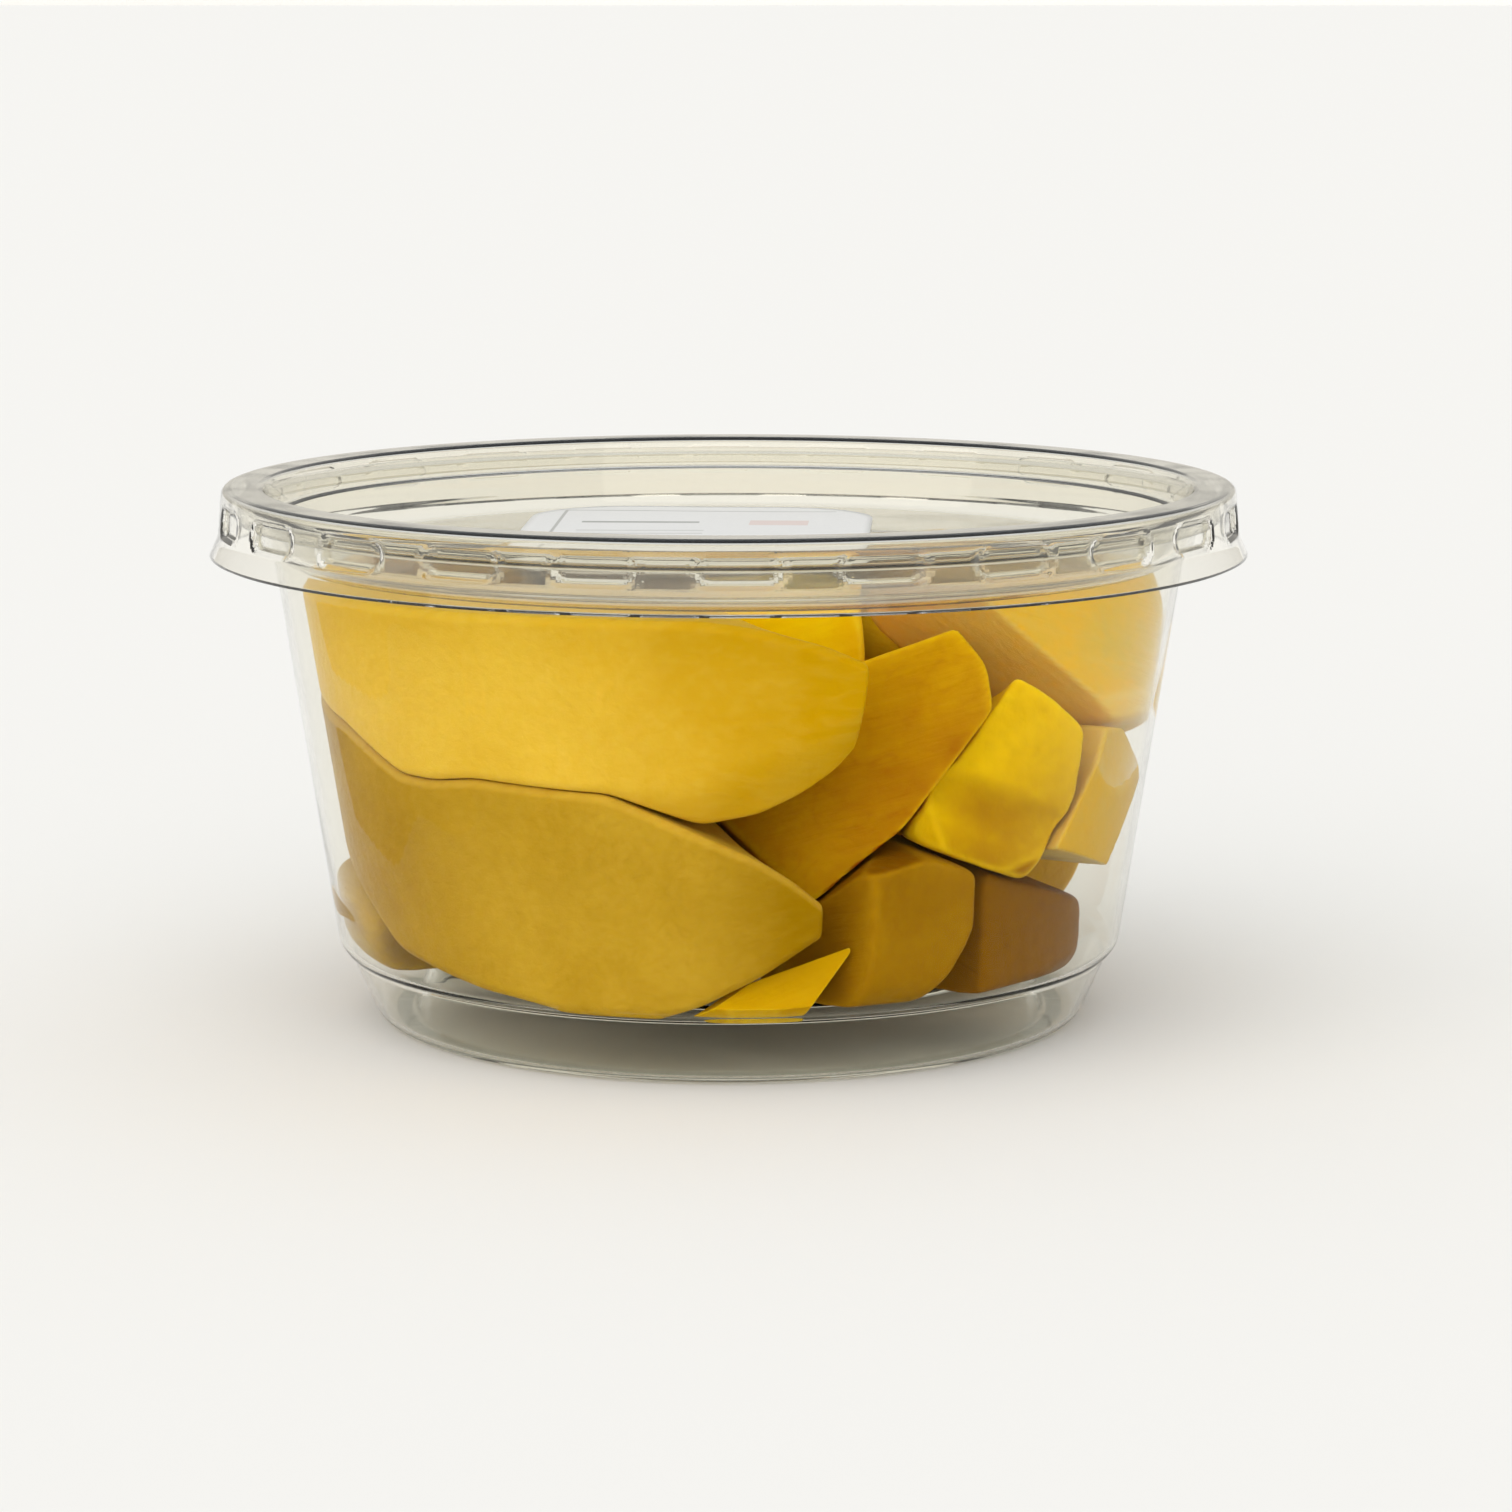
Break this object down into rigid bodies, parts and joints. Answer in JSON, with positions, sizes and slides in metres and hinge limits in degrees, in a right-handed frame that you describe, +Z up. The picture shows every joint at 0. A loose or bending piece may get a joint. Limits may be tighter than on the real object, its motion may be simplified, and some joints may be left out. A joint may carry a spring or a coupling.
{
  "type": "cut mango in a clear lidded tub",
  "caption": "Round clear plastic tub with a press-fit lid and a plain paper label, packed with peeled, knife-cut mango.",
  "frame": {"origin": "centre of the tub's foot ring, on the surface the tub stands on", "axes": "+Z up along the tub's axis of revolution, -Y towards the front where the two long cheeks lie on the wall, +X to the right seen from the front"},
  "size_m": [0.117, 0.117, 0.0604],
  "materials": {
    "clear_tub": "clear thermoformed PET, glossy",
    "clear_lid": "clear thermoformed PET, glossy",
    "label_paper": "white coated paper with plain grey rules",
    "mango_pale": "moist pale mango flesh, faintly fibrous",
    "mango_gold": "moist golden mango flesh, faintly fibrous",
    "mango_deep": "moist deep yellow mango flesh"
  },
  "bodies": {
    "root": {"tub": "clear_tub", "lid": "clear_lid", "label": "label_paper", "upper_cheek": "mango_pale", "lower_cheek": "mango_gold", "slanted_slab": "mango_gold", "creased_block": "mango_gold", "upright_block": "mango_gold", "corner_block": "mango_deep", "right_slab": "mango_pale", "right_strip": "mango_pale", "left_wedge": "mango_gold", "middle_chunk": "mango_gold", "floor_sliver": "mango_gold", "back_right_high": "mango_deep", "back_right_low": "mango_deep", "back_high": "mango_gold", "back_low": "mango_deep", "left_high": "mango_gold", "left_low": "mango_deep", "core_chunk": "mango_deep", "core_top": "mango_gold"}
  },
  "joints": []
}
